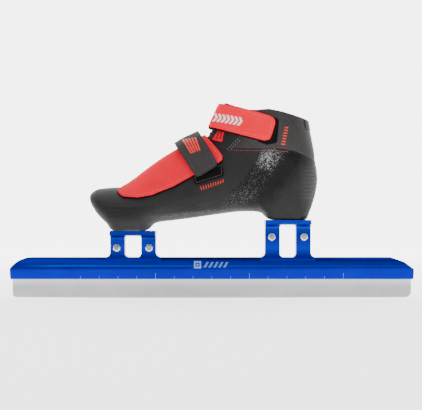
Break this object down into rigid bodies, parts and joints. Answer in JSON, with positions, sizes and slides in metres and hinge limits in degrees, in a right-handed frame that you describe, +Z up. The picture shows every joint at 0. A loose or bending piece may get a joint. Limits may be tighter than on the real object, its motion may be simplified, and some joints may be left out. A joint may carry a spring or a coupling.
{
  "type": "speed skate",
  "caption": "Left short-track speed skate: low carbon boot with a red lace cover and straps, bolted through two cups to the towers of a blue tube that holds a thin steel runner.",
  "frame": {"origin": "lowest point of the running edge, half way along the runner and in the middle of its thickness", "axes": "+X to the heel end of the blade, +Y to the inner (medial) side of this left skate, +Z up from the ice"},
  "size_m": [0.43, 0.0904, 0.2091],
  "materials": {
    "runner_steel": "ground and polished",
    "blue_anodised": "blue anodised, satin",
    "plated_steel": "zinc plated",
    "black_rubber": "matt",
    "carbon_shell": "carbon cloth under clear resin",
    "black_leather": "matt microfibre",
    "red_leather": "satin coated microfibre",
    "black_fabric": "woven",
    "lace_fabric": "braided, waxed",
    "lining_foam": "knit over foam"
  },
  "bodies": {
    "skate": {"runner": "runner_steel", "blade_tube": "blue_anodised", "front_end_plug": "black_rubber", "rear_end_plug": "black_rubber", "front_cup": "blue_anodised", "front_cup_bolt_1": "plated_steel", "front_cup_nut_1": "plated_steel", "front_cup_bolt_2": "plated_steel", "front_cup_nut_2": "plated_steel", "front_boot_bolt": "plated_steel", "front_mount_insert": "plated_steel", "rear_cup": "blue_anodised", "rear_cup_bolt_1": "plated_steel", "rear_cup_nut_1": "plated_steel", "rear_cup_bolt_2": "plated_steel", "rear_cup_nut_2": "plated_steel", "rear_boot_bolt": "plated_steel", "rear_mount_insert": "plated_steel", "boot_shell": "carbon_shell", "boot_upper": "black_leather", "ankle_cuff": "black_fabric", "collar_lining": "lining_foam", "tongue": "black_fabric", "insole": "lining_foam", "eyelet_lateral_1": "plated_steel", "eyelet_medial_1": "plated_steel", "eyelet_lateral_2": "plated_steel", "eyelet_medial_2": "plated_steel", "eyelet_lateral_3": "plated_steel", "eyelet_medial_3": "plated_steel", "eyelet_lateral_4": "plated_steel", "eyelet_medial_4": "plated_steel", "eyelet_lateral_5": "plated_steel", "eyelet_medial_5": "plated_steel", "lace": "lace_fabric", "instep_loop_pad": "black_fabric", "ankle_strap_anchor": "red_leather", "heel_patch": "black_fabric", "tongue_tab": "red_leather"},
    "cover": {"lace_cover": "red_leather"},
    "instep_band": {"instep_strap": "black_fabric"},
    "ankle_flap": {"ankle_strap": "red_leather"}
  },
  "joints": [
    {"name": "lace_cover_hinge", "type": "hinge", "parent": "skate", "child": "cover", "pos_m": [-0.05, 0.021, 0.1358], "axis": [-0.905, 0, -0.4254], "range_deg": [0, 105]},
    {"name": "instep_strap_peel", "type": "hinge", "parent": "cover", "child": "instep_band", "pos_m": [-0.02, 0.021, 0.153], "axis": [-0.905, 0, -0.4254], "range_deg": [0, 18]},
    {"name": "ankle_strap_hinge", "type": "hinge", "parent": "skate", "child": "ankle_flap", "pos_m": [0.016, 0.016, 0.1946], "axis": [-0.1871, 0, -0.9823], "range_deg": [0, 80]}
  ]
}
